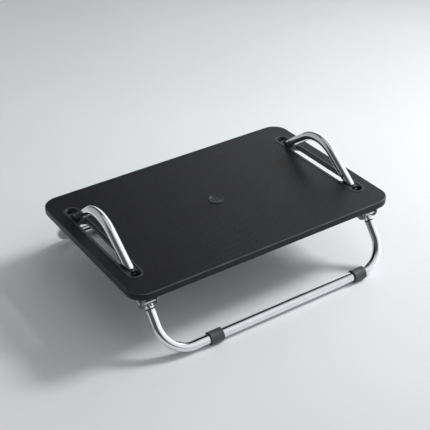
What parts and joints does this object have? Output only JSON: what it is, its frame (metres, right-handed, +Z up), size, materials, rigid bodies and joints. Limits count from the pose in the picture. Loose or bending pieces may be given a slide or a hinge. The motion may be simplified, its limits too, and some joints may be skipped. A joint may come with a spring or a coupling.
{
  "type": "folding step",
  "caption": "Low step with a slab deck on folding splayed tube legs, and a fold-down tube grip over a hand slot at each short end.",
  "frame": {"origin": "floor level, under the centre of the deck", "axes": "+X along the deck's long side, +Y towards the back, +Z up"},
  "size_m": [0.6, 0.4874, 0.2085],
  "materials": {
    "deck_board": "black phenolic film with a fine anti-slip mesh, satin",
    "black_plastic": "satin",
    "bezel_plastic": "satin",
    "plated_steel": "bright plated",
    "fastener_steel": "zinc plated",
    "black_steel": "black oxide",
    "brass": "turned",
    "black_nylon": "satin",
    "chrome_tube": "polished",
    "seal_rubber": "matt",
    "collar_rubber": "satin"
  },
  "bodies": {
    "deck": {"deck_board": "deck_board", "centre_cap": "black_plastic", "left_bezel": "bezel_plastic", "right_bezel": "bezel_plastic", "left_front_strap": "plated_steel", "left_back_strap": "plated_steel", "right_front_strap": "plated_steel", "right_back_strap": "plated_steel", "bezel_screws": "black_steel", "bezel_nuts": "fastener_steel", "front_left_bracket": "plated_steel", "front_right_bracket": "plated_steel", "back_left_bracket": "plated_steel", "back_right_bracket": "plated_steel", "front_left_block": "black_nylon", "front_right_block": "black_nylon", "back_left_block": "black_nylon", "back_right_block": "black_nylon", "front_left_leg_pin": "fastener_steel", "front_right_leg_pin": "fastener_steel", "back_left_leg_pin": "fastener_steel", "back_right_leg_pin": "fastener_steel", "hinge_washers": "black_nylon", "pin_clips": "black_steel", "stop_pins": "fastener_steel", "bracket_screws": "fastener_steel", "bracket_inserts": "brass"},
    "left_grip": {"left_grip_tube": "chrome_tube", "left_front_plug": "black_nylon", "left_back_plug": "black_nylon", "left_front_grip_pin": "fastener_steel", "left_back_grip_pin": "fastener_steel"},
    "right_grip": {"right_grip_tube": "chrome_tube", "right_front_plug": "black_nylon", "right_back_plug": "black_nylon", "right_front_grip_pin": "fastener_steel", "right_back_grip_pin": "fastener_steel"},
    "front_leg": {"front_leg_tube": "chrome_tube", "front_left_fork": "chrome_tube", "front_right_fork": "chrome_tube", "front_leg_seals": "seal_rubber", "front_left_collar": "collar_rubber", "front_right_collar": "collar_rubber"},
    "back_leg": {"back_leg_tube": "chrome_tube", "back_left_fork": "chrome_tube", "back_right_fork": "chrome_tube", "back_leg_seals": "seal_rubber", "back_left_collar": "collar_rubber", "back_right_collar": "collar_rubber"}
  },
  "joints": [
    {"name": "front_leg_fold", "type": "hinge", "parent": "deck", "child": "front_leg", "pos_m": [0, -0.162, 0.101], "axis": [1, 0, 0], "range_deg": [0, 133]},
    {"name": "back_leg_fold", "type": "hinge", "parent": "deck", "child": "back_leg", "pos_m": [0, 0.162, 0.101], "axis": [-1, 0, 0], "range_deg": [0, 133]},
    {"name": "left_grip_fold", "type": "hinge", "parent": "deck", "child": "left_grip", "pos_m": [-0.262, 0, 0.151], "axis": [0, 1, 0], "range_deg": [0, 90]},
    {"name": "right_grip_fold", "type": "hinge", "parent": "deck", "child": "right_grip", "pos_m": [0.262, 0, 0.151], "axis": [0, -1, 0], "range_deg": [0, 90]}
  ]
}
